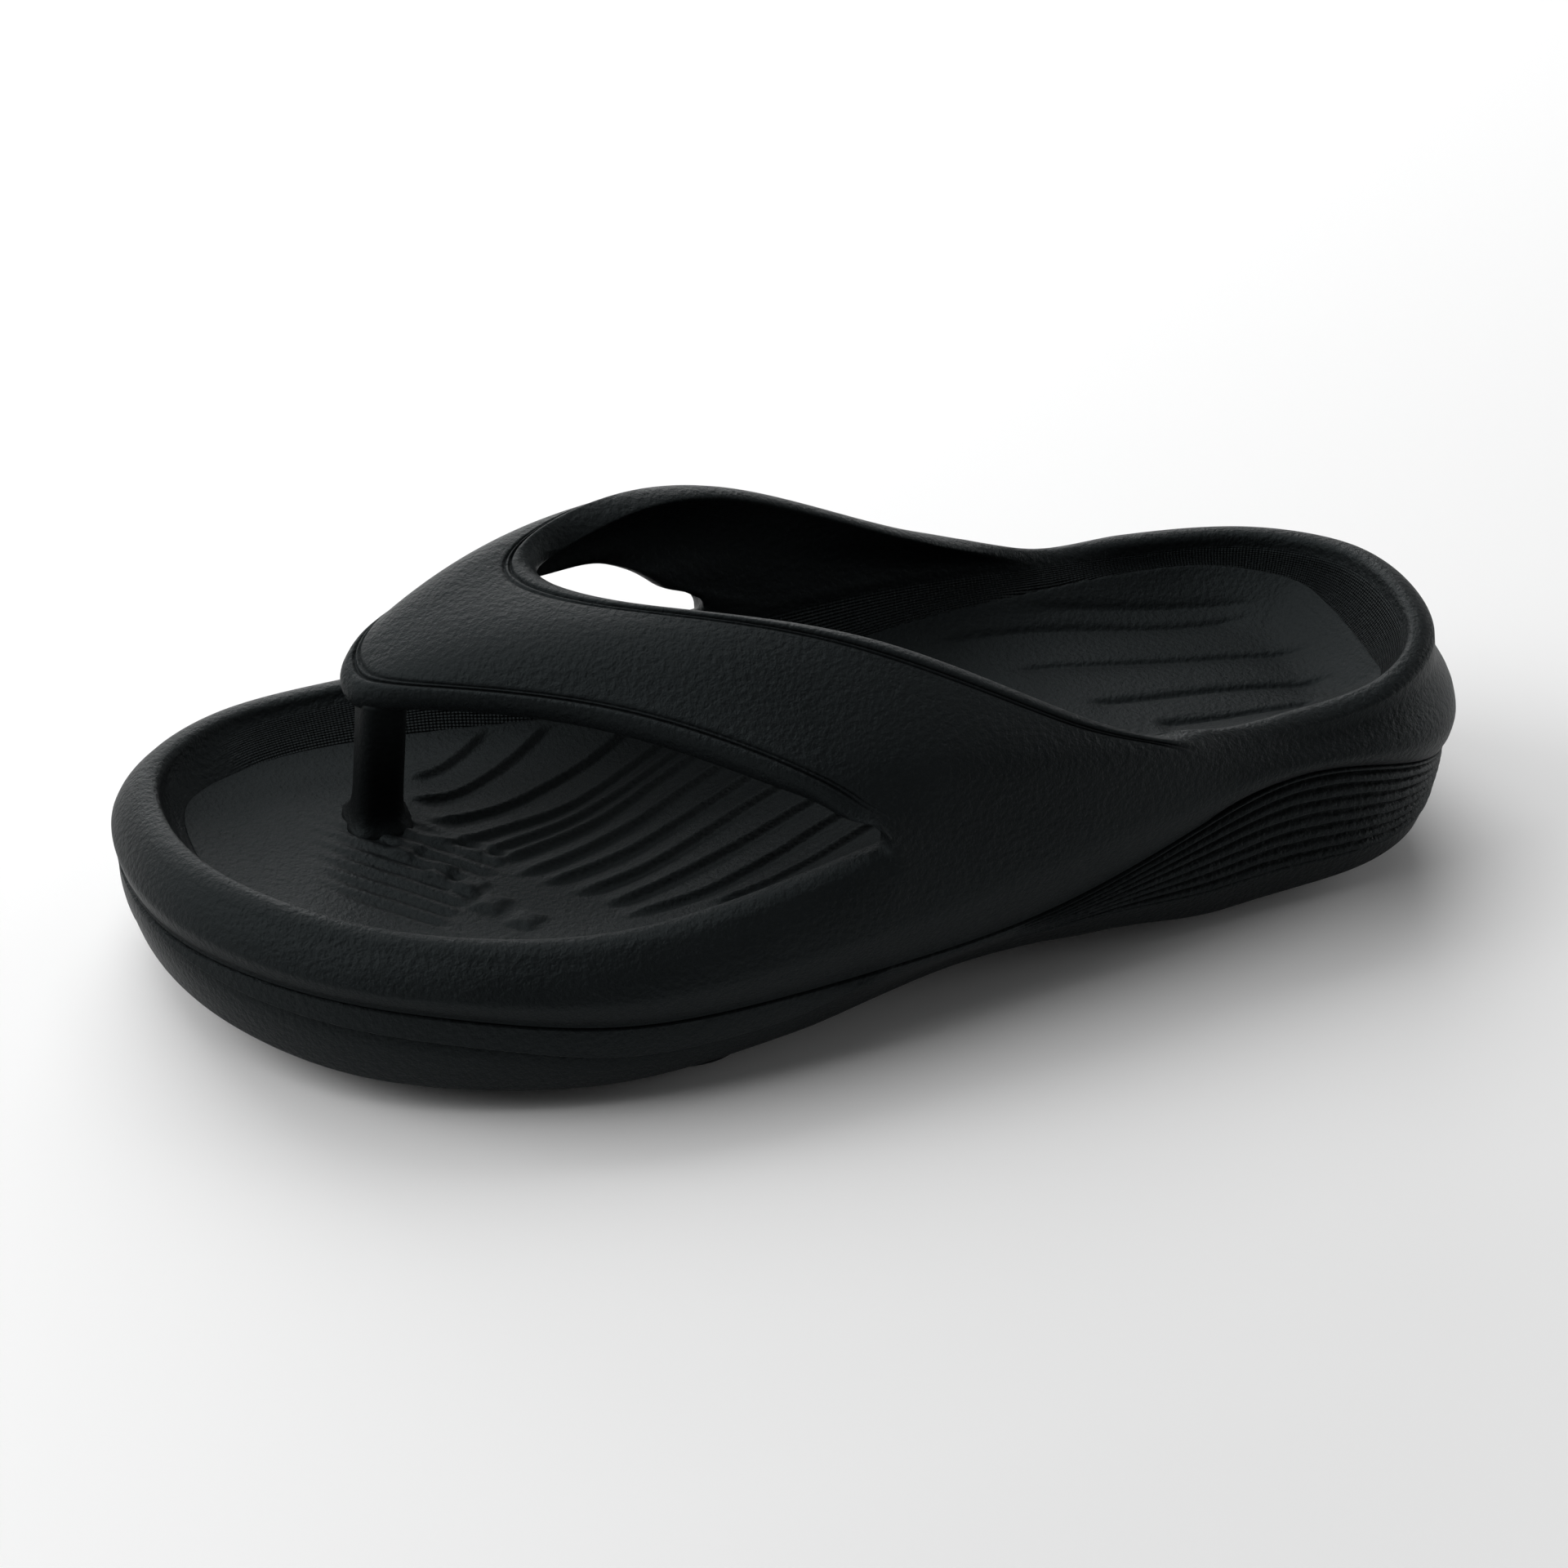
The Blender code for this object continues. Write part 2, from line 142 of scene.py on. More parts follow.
HEEL_GRIP = ((-28, 84), (-29, 52), (-25, 28), (-8, 16), (12, 16), (29, 28), (34, 52), (32, 84))

# ---- toe post ----
POST_CENTRE = (13, 227.5)
POST_HALF = (5.2, 4.7)
POST_TOP = 57.5
POST_LEAN = 2.0
POST_FLARE = 2.3
POST_FLARE_FALL = 1.6
POST_SQUARENESS = 3.4

# ---- mesh sizes ----
SKIN_STEP = 1.0
WALL_ROWS = 26
CREST_STEPS = 10
INNER_ROWS = 16
STRAP_ROWS = 230
COLUMN_OFFSETS = (3.1, 3.7, *(4.0 + 0.2 * step for step in range(12)), 6.8, 7.6, 8.6, 9.8)
MIDDLE_COLUMNS = 36
FOOTBED_ROWS = 460
FOOTBED_COLUMNS = 150
SOLE_SAMPLES = 26
SOLE_ROWS = 110


def ease(knots, at):
    """A smooth curve through (position, value, ...) knots that never swings past a knot."""
    knots = np.array(knots, float)
    place = knots[:, 0]
    secant = np.diff(knots[:, 1:], axis=0) / np.diff(place)[:, None]
    before, after = np.vstack([secant[:1], secant]), np.vstack([secant, secant[-1:]])
    steady = before * after > 0
    slope = np.where(steady, 2 * before * after / np.where(steady, before + after, 1), 0)
    shape = np.shape(at)
    at = np.clip(np.ravel(at), place[0], place[-1])
    k = np.clip(np.searchsorted(place, at, side="right") - 1, 0, len(place) - 2)
    span = place[k + 1] - place[k]
    t = ((at - place[k]) / span)[:, None]
    rise = span[:, None]
    start = knots[k, 1:] * (1 + 2 * t) * (1 - t) ** 2 + slope[k] * rise * t * (1 - t) ** 2
    end = knots[k + 1, 1:] * t * t * (3 - 2 * t) - slope[k + 1] * rise * t * t * (1 - t)
    value = start + end
    return value[:, 0].reshape(shape) if knots.shape[1] == 2 else value


def second_slopes(points, closed):
    """Second derivatives, for unit steps, of the cubic spline through the points."""
    count = len(points)
    matrix = np.eye(count) * 4 + np.eye(count, k=1) + np.eye(count, k=-1)
    bend = 6 * (np.roll(points, 1, 0) - 2 * points + np.roll(points, -1, 0))
    if closed:
        matrix[0, -1] = matrix[-1, 0] = 1
    else:
        matrix[[0, -1]] = np.eye(count)[[0, -1]]
        bend[[0, -1]] = 0
    return np.linalg.solve(matrix, bend)


def spline(points, at, closed=False):
    """The cubic spline through the points, read at fractional indices, and its derivative."""
    points = np.array(points, float)
    bend = second_slopes(points, closed)
    k = np.floor(at).astype(int) if closed else np.minimum(at.astype(int), len(points) - 2)
    t = (at - k)[:, None]
    k = k % len(points)
    after = (k + 1) % len(points)
    a, b, m, n = points[k], points[after], bend[k], bend[after]
    place = (m * (1 - t) ** 3 + n * t ** 3) / 6 + (a - m / 6) * (1 - t) + (b - n / 6) * t
    slope = (n * t ** 2 - m * (1 - t) ** 2) / 2 + (b - n / 6) - (a - m / 6)
    return place, slope


def smooth(t):
    """0 to 1 with level ends."""
    t = np.clip(t, 0, 1)
    return t * t * (3 - 2 * t)


def ridge(distance, width):
    """A round hump, 1 high where distance is 0."""
    return np.exp(-(distance / width) ** 2)


def unit(vectors):
    """The vectors at length 1."""
    return vectors / np.linalg.norm(vectors, axis=-1, keepdims=True)


def bezier(a, b, c, d, t):
    """Points of cubic curves; a to d are (n, 3), and t gives the rows."""
    t = np.asarray(t)[:, None, None]
    return a * (1 - t) ** 3 + b * 3 * t * (1 - t) ** 2 + c * 3 * t * t * (1 - t) + d * t ** 3


class Contour:
    """The widest contour of the shoe, read at places counted in stations from the heel tip."""

    def __init__(self, at):
        self.at = np.mod(at, len(STATIONS))
        place, slope = spline(STATIONS, self.at, closed=True)
        self.xy = place[:, :2]
        self.y = place[:, 1]
        self.rim = place[:, 2]
        self.parting = place[:, 3]
        along = unit(slope[:, :2])
        self.inward = np.column_stack([along[:, 1], -along[:, 0]])
        self.lateral = self.at < TOE_STATION
        self.crest = np.where(self.lateral, ease(LATERAL_CREST, self.y), ease(MEDIAL_CREST, self.y))
        self.floor = ease(FLOOR_INSET, self.y)
        self.bank = self.floor - self.crest - CREST_INNER
        self.heel = smooth((HEEL_START - self.y) / HEEL_FADE)

    def ring(self, inset, height):
        """The contour moved inward by `inset`, at `height`."""
        inset = np.broadcast_to(inset, len(self.at))[:, None]
        flat = self.xy + self.inward * inset
        return np.column_stack([flat, np.broadcast_to(height, len(self.at))])

    def level_ring(self, inset, heights, shift=0.0):
        """The contour moved inward, at the height that `heights` gives for each point's own y."""
        ring = self.ring(inset, 0.0)
        ring[:, 2] = ease(heights, ring[:, 1]) + shift
        return ring


def crest_place(y, lateral):
    """Where along the contour the rim's crest passes y on one side."""
    at = np.linspace(0.5, TOE_STATION - 0.5, 1200) + (0 if lateral else TOE_STATION)
    line = Contour(at)
    reached = line.ring(line.crest, 0.0)[:, 1]
    order = np.argsort(reached)
    return np.interp(y, reached[order], at[order])


def places_between(start, end, shares=None):
    """Places from start to end, SKIN_STEP apart or at the given shares of the way."""
    fine = np.linspace(start, end, 3000)
    steps = np.linalg.norm(np.diff(Contour(fine).xy, axis=0), axis=1)
    length = np.concatenate([[0], np.cumsum(steps)])
    if shares is None:
        shares = np.linspace(0, 1, round(length[-1] / SKIN_STEP) + 1)
    return np.interp(shares * length[-1], length, fine)


def outline_middle():
    """The middle of the contour's box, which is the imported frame's origin."""
    coarse = Contour(np.arange(len(STATIONS) * 3) / 3)
    return (coarse.xy.min(0) + coarse.xy.max(0)) / 2


MIDDLE = outline_middle()


class Patchwork:
    """A mesh built from grids of points that share their borders."""

    def __init__(self):
        self.points = []
        self.faces = []
        self.count = 0

    def add(self, points):
        """Store points of shape (..., 3) and return their numbers in the same shape."""
        flat = np.asarray(points, float).reshape(-1, 3)
        numbers = np.arange(self.count, self.count + len(flat)).reshape(np.shape(points)[:-1])
        self.points.append(flat)
        self.count += len(flat)
        return numbers

    def quads(self, numbers, closed=False):
        """Faces over a grid of point numbers; closed joins its last column to its first."""
        if closed:
            numbers = np.concatenate([numbers, numbers[:, :1]], axis=1)
        corners = (numbers[:-1, :-1], numbers[1:, :-1], numbers[1:, 1:], numbers[:-1, 1:])
        self.faces.append(np.stack(corners, axis=-1).reshape(-1, 4))

    def across(self, ring):
        """Faces across a ring from each point to the one facing it; returns the end triangles."""
        half = len(ring) // 2
        left, right = ring[:half + 1], np.roll(ring[::-1], 1)[:half + 1]
        self.faces.append(np.stack([left[1:-2], left[2:-1], right[2:-1], right[1:-2]], axis=-1))
        return [(left[0], left[1], right[1]), (left[-1], left[-2], right[-2])]

    def mesh(self, name, extra=()):
        """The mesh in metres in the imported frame, with outward normals and smooth shading."""
        points = (np.vstack(self.points) - [*MIDDLE, 0]) * MM
        faces = [tuple(face) for face in np.vstack(self.faces).tolist()]
        faces += [tuple(int(i) for i in face) for face in extra]
        made = bpy.data.meshes.new(name)
        made.from_pydata(points.tolist(), [], faces)
        work = bmesh.new()
        work.from_mesh(made)
        bmesh.ops.recalc_face_normals(work, faces=work.faces)
        work.to_mesh(made)
        work.free()
        made.shade_smooth()
        return made


def show(name, mesh, material, nodes):
    """A piece made of `mesh` that stands for the CAD nodes and rides on the root body."""
    piece = bpy.data.objects.new(name, mesh)
    bpy.context.scene.collection.objects.link(piece)
    piece.data.materials.append(material)
    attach(piece, "root")
    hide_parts(*nodes)
    return piece


def coordinates(mesh):
    """The mesh's points as an array of shape (n, 3), in metres."""
    flat = np.empty(len(mesh.vertices) * 3)
    mesh.vertices.foreach_get("co", flat)
    return flat.reshape(-1, 3)


def displace(mesh, amount):
    """Move each point along its normal by `amount` millimetres."""
    normals = np.empty(len(mesh.vertices) * 3)
    mesh.vertex_normals.foreach_get("vector", normals)
    moved = coordinates(mesh) + normals.reshape(-1, 3) * amount[:, None] * MM
    mesh.vertices.foreach_set("co", moved.ravel())
    mesh.update()


def all_edges(mesh):
    """The point numbers at the two ends of every edge."""
    edges = np.empty(len(mesh.edges) * 2, int)
    mesh.edges.foreach_get("vertices", edges)
    return edges.reshape(-1, 2)


def relax(mesh, edges, weight, rounds):
    """Even out the mesh along the given edges, where weight is above 0."""
    a, b = edges.T
    touched = (weight[a] > 0) | (weight[b] > 0)
    a, b = a[touched], b[touched]
    points = coordinates(mesh)
    count = len(points)
    ends, others = np.concatenate([a, b]), np.concatenate([b, a])
    degree = np.maximum(np.bincount(ends, minlength=count), 1)
    for _ in range(rounds):
        for axis in range(3):
            mean = np.bincount(ends, points[others, axis], minlength=count) / degree
            points[:, axis] += (mean - points[:, axis]) * weight
    mesh.vertices.foreach_set("co", points.ravel())
    mesh.update()


# ---- upper and strap ----
def bead_relief(inside):
    """A rounded bead along an edge, closed off by two fine grooves."""
    bead = BEAD_HEIGHT * np.sin(math.pi * np.clip((inside - BEAD_START) / BEAD_WIDTH, 0, 1))
    grooves = sum(share * ridge(inside - place, width) for place, width, share in EDGE_GROOVES)
    return bead - EDGE_GROOVE_DEPTH * grooves


def strap_places(width, margin):
    """Places across the strap, 0 to 1: `margin` and COLUMN_OFFSETS inside each edge, then even."""
    inside = np.tile(COLUMN_OFFSETS, (len(width), 1))
    near = np.concatenate([margin[:, None], inside], axis=1) / width[:, None]
    middle = np.linspace(0, 1, MIDDLE_COLUMNS + 2)[None, 1:-1]
    between = near[:, -1:] + (1 - 2 * near[:, -1:]) * middle
    return np.concatenate([near, between, 1 - near[:, ::-1]], axis=1)


def distance_to(points, targets):
    """Each point's distance, in millimetres, to the nearest target."""
    nearest = np.full(len(points), 1e9)
    for target in (targets - [*MIDDLE, 0]) * MM:
        nearest = np.minimum(nearest, np.linalg.norm(points - target, axis=1) / MM)
    return nearest


def wall_rings(line):
    """The outer wall from its lip to the rim: flat-sided, with a skirt under a waist at the heel."""
    up = np.linspace(0, 1, WALL_ROWS + 1)
    outer = line.crest - CREST_OUTER
    side = ease(WALL_PROFILE, up)[:, None] / WALL_PROFILE[-1][1] * outer
    side = side + (1 - up[:, None]) * (WALL_PROFILE[0][1] * (1 - outer / WALL_PROFILE[-1][1]))
    back = ease(HEEL_PROFILE, up)[:, None] + (outer - HEEL_PROFILE[-1][1]) * up[:, None] ** 2
    inset = side * (1 - line.heel) + back * line.heel
    low, high = line.parting + LIP_RISE, line.rim - CREST_DROP
    height = low + (high - low) * up[:, None]
    return np.stack([line.ring(a, b) for a, b in zip(inset, height)])


class Strap:
    """The strap's outer and inner sheets over a grid of rows along it and places across it."""

    def __init__(self, rows):
        last = len(FRONT_EDGE) - 1
        self.u = np.linspace(0, last, rows + 1)
        front, front_slope = spline(FRONT_EDGE, self.u)
        rear, rear_slope = spline(REAR_EDGE, self.u)
        self.width = np.linalg.norm(rear - front, axis=1)
        self.from_root = np.minimum(self.u, last - self.u)
        ramp = smooth(self.from_root / 0.7)
        self.w = strap_places(self.width, EDGE_ROUND * ramp)[..., None]
        flat = front[:, None] * (1 - self.w) + rear[:, None] * self.w
        along = front_slope[:, None] * (1 - self.w) + rear_slope[:, None] * self.w
        outward = unit(np.cross(np.broadcast_to((rear - front)[:, None], along.shape), along))
        if outward[rows // 2, 0, 2] < 0:
            outward = -outward
        self.outer = flat + outward * STRAP_CROWN * 4 * self.w * (1 - self.w)
        lift = smooth(self.u / LIFT_RISE) * (1 - smooth((self.u - LIFT_RISE) / LIFT_FALL))
        near_front = 1 - smooth(self.w[..., 0] / LIFT_WIDTH)
        self.outer[..., 2] += CORNER_LIFT * (lift + lift[::-1])[:, None] * near_front
        self.inner = self.outer - outward * STRAP_THICKNESS
        self.to_front = self.w[..., 0] * self.width[:, None]
        self.to_rear = (1 - self.w[..., 0]) * self.width[:, None]

    def anchor(self, sheet, start, end):
        """Bend the sheet's two ends onto the rim lines they grow out of."""
        last = self.u[-1]
        near_start = (1 - smooth(self.u / ROOT_BLEND))[:, None, None]
        near_end = (1 - smooth((last - self.u) / ROOT_BLEND))[:, None, None]
        return sheet + near_start * (start - sheet[0]) + near_end * (end - sheet[-1])


def crest_arc(start, end, start_way, end_way, reach):
    """Rounded strips from start to end, leaving and arriving along the given directions."""
    t = np.linspace(0, 1, CREST_STEPS + 1)
    return bezier(start, start + start_way * reach, end + end_way * reach, end, t)


def inner_rings(line):
    """The inner wall from the rim to under the footbed, with an easier bank at the medial toe."""
    foot_y = line.ring(line.floor, 0)[:, 1]
    floor_z = ease(FLOOR_HEIGHT, foot_y)
    foot_z = floor_z + ease(DISH_RISE, foot_y)
    easy = np.where(line.lateral, 0, smooth((line.y - 185) / 25) * smooth((279 - line.y) / 25))
    top_inset, top_z = line.crest + CREST_INNER, line.rim - CREST_DROP
    top = line.ring(top_inset, top_z)
    down = line.ring(top_inset + (0.12 + 0.2 * easy) * line.bank, top_z - 4 + 1.2 * easy)
    foot = line.ring(line.floor - 0.35 * line.bank, foot_z + 0.8 + 2 * easy)
    tuck = line.ring(line.floor + PAD_TUCK, foot_z - 1.4)
    under = line.ring(line.floor + PAD_TUCK, floor_z - 7)
    wall = bezier(top, down, foot, tuck, np.linspace(0, 1, INNER_ROWS + 1))
    return np.concatenate([wall, under[None]])


def hem_rings(line):
    """The upper's underside, from inside the joint with the sole out to the lip."""
    lip = LIP_INSET + UPPER_LIP_TUCK * line.heel
    return np.stack([
        line.ring(HEM_INSET, line.parting + 0.4),
        line.ring(lip + 1.2, line.parting + 0.1),
        line.ring(lip + 0.3, line.parting + 0.12),
    ])


def soften_roots(mesh, columns, roots, corners):
    """Even out the skin where the strap grows out of the walls, then around its four corners."""
    pairs = [np.stack([grid[:-1].ravel(), grid[1:].ravel()], axis=1) for grid in columns]
    outside = np.zeros(len(mesh.vertices))
    outside[np.concatenate([grid[4:].ravel() for grid in columns])] = 1
    away = distance_to(coordinates(mesh), roots)
    weight = 0.5 * outside * (1 - smooth(away / ROOT_SOFTNESS))
    relax(mesh, np.concatenate(pairs), weight, ROOT_ROUNDS)
    places = [distance_to(coordinates(mesh), part) for part in (corners[:2], corners[2:])]
    for away, (reach, rounds) in zip(places, (FRONT_CORNER, REAR_CORNER)):
        relax(mesh, all_edges(mesh), 0.6 * (1 - smooth(away / reach)), rounds)


def emboss_strap(mesh, strap, sheet_ids):
    """Raise the beads along the strap's two edges, fading out towards its roots."""
    front_fade = smooth((strap.from_root - 0.35) / 0.5)[:, None]
    rear_fade = smooth((strap.from_root - 0.05) / 0.4)[:, None]
    beads = bead_relief(strap.to_front) * front_fade + bead_relief(strap.to_rear) * rear_fade
    relief = np.zeros(len(mesh.vertices))
    relief[sheet_ids[1:-1]] = beads[1:-1]
    displace(mesh, relief)


def mark_knurl(mesh, line, inner_ids):
    """Store each inner wall point's place along and down the wall, and how strong its studs are."""
    wall_ids = inner_ids[:-1]
    steps = np.linalg.norm(np.diff(line.xy, axis=0), axis=1)
    down = np.linspace(0, 1, INNER_ROWS + 1)[:, None]
    zone = np.where(line.lateral, smooth((120 - line.y) / 25), smooth((262 - line.y) / 20))
    knurl = np.zeros((len(mesh.vertices), 3))
    knurl[wall_ids, 0] = np.concatenate([[0], np.cumsum(steps)])
    knurl[wall_ids, 1] = down * (line.bank + KNURL_WALL)
    knurl[wall_ids, 2] = smooth((down - 0.12) / 0.2) * zone
    stored = mesh.attributes.new("knurl", "FLOAT_VECTOR", "POINT")
    stored.data.foreach_set("vector", knurl.ravel())


def build_upper(material):
    """Walls, rim, strap and inner wall as one closed skin."""
    front_lateral = crest_place(FRONT_EDGE[0][1], True)
    rear_lateral = crest_place(REAR_EDGE[0][1], True)
    front_medial = crest_place(FRONT_EDGE[-1][1], False)
    rear_medial = crest_place(REAR_EDGE[-1][1], False)
    strap = Strap(STRAP_ROWS)
    runs = (
        places_between(front_lateral, rear_lateral, strap.w[0, :, 0])[::-1],
        places_between(front_lateral, front_medial),
        places_between(front_medial, rear_medial, strap.w[-1, :, 0]),
        places_between(rear_medial, rear_lateral + len(STATIONS)),
    )
    line = Contour(np.concatenate([run[:-1] for run in runs]))
    stops = np.cumsum([0] + [len(run) - 1 for run in runs])
    spans = [np.arange(a, b + 1) % stops[-1] for a, b in zip(stops[:-1], stops[1:])]
    lateral_span, toe_span, medial_span, heel_span = spans

    work = Patchwork()
    outer_rings = np.concatenate([hem_rings(line), wall_rings(line)])
    outer_ids = work.add(outer_rings)
    work.quads(outer_ids, closed=True)
    lining_rings = inner_rings(line)
    inner_ids = work.add(lining_rings)
    work.quads(inner_ids, closed=True)
    work.quads(np.stack([inner_ids[-1], outer_ids[0]]), closed=True)
    top, inside = outer_ids[-1], inner_ids[0]
    outer_edge = line.ring(line.crest - CREST_OUTER, line.rim - CREST_DROP)
    inner_edge = lining_rings[0]

    rise = np.array([0, 0, 1.0])
    inward = np.column_stack([line.inward, np.zeros(stops[-1])])
    outer_way = unit(inward * 0.8 + rise * 0.75)
    inner_way = unit(rise - inward * 0.2)
    arcs = crest_arc(outer_edge, inner_edge, outer_way, inner_way, CREST_REACH)

    def crest_strip(span):
        """The rounded crest over one stretch of the rim."""
        body = work.add(arcs[1:-1][:, span])
        strip = np.concatenate([top[span][None], body, inside[span][None]])
        work.quads(strip)
        return strip

    toe_strip, heel_strip = crest_strip(toe_span), crest_strip(heel_span)

    lateral_order = lateral_span[::-1]
    outer = strap.anchor(strap.outer, outer_edge[lateral_order], outer_edge[medial_span])
    inner = strap.anchor(strap.inner, inner_edge[lateral_order], inner_edge[medial_span])

    def sheet(points, ends):
        """One face of the strap, joined at both ends to the rim points in `ends`."""
        body = work.add(points[1:-1])
        numbers = np.concatenate([ends[lateral_order][None], body, ends[medial_span][None]])
        work.quads(numbers)
        return numbers

    sheet_ids = sheet(outer, top)
    lining_ids = sheet(inner, inside)
    blend = smooth(strap.from_root / 0.45)[:, None]
    half = strap.u[:, None] < strap.u[-1] / 2

    def edge_strip(column, beside, lateral_point, medial_point, lateral_arc, medial_arc):
        """The rounded edge between the strap's two faces, turning into the rim's crest."""
        out_way = unit(outer[:, column] - outer[:, beside])
        in_way = unit(inner[:, column] - inner[:, beside])
        rim_out = np.where(half, outer_way[lateral_point], outer_way[medial_point])
        rim_in = np.where(half, inner_way[lateral_point], inner_way[medial_point])
        out_way = unit(out_way * blend + rim_out * (1 - blend))
        in_way = unit(in_way * blend + rim_in * (1 - blend))
        arc = crest_arc(outer[:, column], inner[:, column], out_way, in_way, EDGE_REACH)
        body = work.add(arc[1:-1][:, 1:-1])
        middle = np.concatenate([lateral_arc[1:-1, None], body, medial_arc[1:-1, None]], axis=1)
        ends = (sheet_ids[:, column][None], lining_ids[:, column][None])
        work.quads(np.concatenate([ends[0], middle, ends[1]]))

    edge_strip(0, 1, toe_span[0], toe_span[-1], toe_strip[:, 0], toe_strip[:, -1])
    edge_strip(-1, -2, heel_span[-1], heel_span[0], heel_strip[:, -1], heel_strip[:, 0])

    mesh = work.mesh("upper")
    columns = (
        np.concatenate([outer_ids[:, lateral_order], sheet_ids[1:60]]),
        np.concatenate([outer_ids[:, medial_span], sheet_ids[::-1][1:60]]),
    )
    roots = outer_edge[np.concatenate([lateral_span, medial_span])][::4]
    ends = [toe_span[0], toe_span[-1], heel_span[0], heel_span[-1]]
    soften_roots(mesh, columns, roots, arcs[CREST_STEPS // 2][ends])
    emboss_strap(mesh, strap, sheet_ids)
    mark_knurl(mesh, line, inner_ids)
    return show("upper_skin", mesh, material, ["upper_shell", "strap"])


# ---- footbed ----
def chains(loop):
    """A closed loop split at its lowest and highest y into left and right chains of (y, x)."""
    low, high = np.argmin(loop[:, 1]), np.argmax(loop[:, 1])
    loop = np.roll(loop, -low, axis=0)
    high = (high - low) % len(loop)
    first, second = loop[:high + 1], np.vstack([loop[high:], loop[:1]])[::-1]
    pair = [first, second]
    pair.sort(key=lambda chain: chain[:, 0].mean())
    return pair


def plan_grid(loop, rows, columns):
    """Points (rows, columns, 2) filling a closed plan outline, with finer rows at its ends."""
    left, right = chains(loop)
    low, high = left[0, 1], left[-1, 1]
    fine = np.linspace(low + 0.05, high - 0.05, 6000)
    end = np.minimum(fine - low, high - fine)
    share = np.cumsum(1 / np.minimum(1, 0.1 + end / 8))
    share = (share - share[0]) / (share[-1] - share[0])
    y = np.interp(np.linspace(0, 1, rows + 1), share, fine)
    start = np.interp(y, np.maximum.accumulate(left[:, 1]), left[:, 0])
    stop = np.interp(y, np.maximum.accumulate(right[:, 1]), right[:, 0])
    t = np.linspace(0, 1, columns + 1)[None]
    x = start[:, None] * (1 - t) + stop[:, None] * t
    return np.stack([x, np.broadcast_to(y[:, None], x.shape)], axis=-1)


def slab(name, plan, top, bottom, flat_top=False):
    """A closed slab over a plan grid; the face that isn't flat keeps the whole grid."""
    work = Patchwork()
    detailed, flat = (bottom, top) if flat_top else (top, bottom)
    ids = work.add(np.dstack([plan, detailed]))
    work.quads(ids)
    border = np.concatenate([ids[:, 0], ids[-1, 1:], ids[-2::-1, -1], ids[0, -2:0:-1]])
    far = work.add(np.dstack([plan, flat]).reshape(-1, 3)[border])
    work.quads(np.stack([border, far]), closed=True)
    rows, columns = plan.shape[:2]
    left = far[:rows]
    right = far[rows + columns - 2:2 * rows + columns - 2][::-1]
    work.faces.append(np.stack([left[:-1], left[1:], right[1:], right[:-1]], axis=-1))
    start_row = np.concatenate([left[:1], far[2 * rows + columns - 2:][::-1], right[:1]])
    end_row = far[rows - 1:rows + columns - 1]
    return work.mesh(name, [start_row, end_row])


# Lines of the footbed as (x, y) points, from the toe to the heel, and from the medial side outward.
HEEL_GROOVES = (
    ((34, 117), (33, 104), (30, 87), (27.4, 70), (25, 54.5), (23, 42), (20, 33), (16, 28)),
    ((24.5, 105), (25, 97), (24.5, 84), (22.3, 68), (19.2, 51), (17.6, 38), (16, 30)),
    ((13.5, 92), (13.5, 83), (10, 69), (6.5, 52), (3.5, 36), (0, 24)),
    ((-2, 81), (-4.4, 66), (-5.5, 53), (-8.2, 37), (-11.5, 25)),
    ((-13.5, 70), (-15.3, 58), (-16, 45), (-17, 32)),
)
FOREFOOT_STEPS = (
    ((24.5, 219), (25, 213), (30, 205), (38, 196)),
    ((19.5, 220.5), (17, 218.5), (16, 212), (19.5, 204), (26.5, 194), (36, 182)),
    ((10.5, 219.5), (8, 214.5), (8.5, 204.5), (12, 195), (18, 183), (24.5, 172.5), (32, 160)),
    (
        (4.5, 221), (0.5, 215), (1.5, 205), (3.5, 195), (6.5, 186.5), (12, 177), (18.5, 166.5),
        (26, 154),
    ),
    ((-6, 213.5), (-3, 203), (-0.5, 193.5), (3, 185), (8.5, 174.5), (15.5, 163.5), (23, 151)),
    ((-9.5, 211), (-6.5, 200.5), (-3.5, 190.5), (0.5, 181.5), (6.5, 171.5), (12.5, 161), (20, 147)),
    ((-14.5, 208), (-12.5, 199), (-9, 188.5), (-4, 177), (2, 166.5), (7, 157), (14, 143)),
    ((-19, 204), (-16.5, 193.5), (-13.5, 183), (-8.5, 172), (-2.5, 160), (1.5, 152), (8, 138)),
    ((-24, 199), (-21.5, 187.5), (-18.5, 178), (-13, 166.5), (-8, 156.5), (-4.5, 148), (2, 132)),
    ((-29, 194), (-27, 184), (-23, 171.5), (-19, 161), (-14.5, 150.5), (-11.5, 143), (-6, 129)),
    (
        (-34.5, 192), (-33, 182.5), (-31.5, 172.5), (-28.5, 164), (-25, 155), (-21.5, 147.5),
        (-13, 127),
    ),
    ((-37, 174), (-35, 164), (-32, 154), (-28, 144.5), (-21, 128)),
)
NUBS = ((-29, 208), (-22, 213), (-15.5, 216), (-9, 220), (-0.3, 225))
NUB_HEIGHT = 0.9
NUB_HALF = (3.2, 4.2)
STEP_HEIGHT = 1.5
STEP_CURVE = 1.7
STEP_SINK = 0.35
GROOVE_DEPTH = 1.1
GROOVE_STEEP = 0.7
GROOVE_EASY = 3.2
TOE_LINE_PITCH = 3.7
TOE_LINE_HEIGHT = 0.42
DISH_WIDTH = 16.0
PAD_THICKNESS = 3.8
PAD_OVERLAP = 0.3


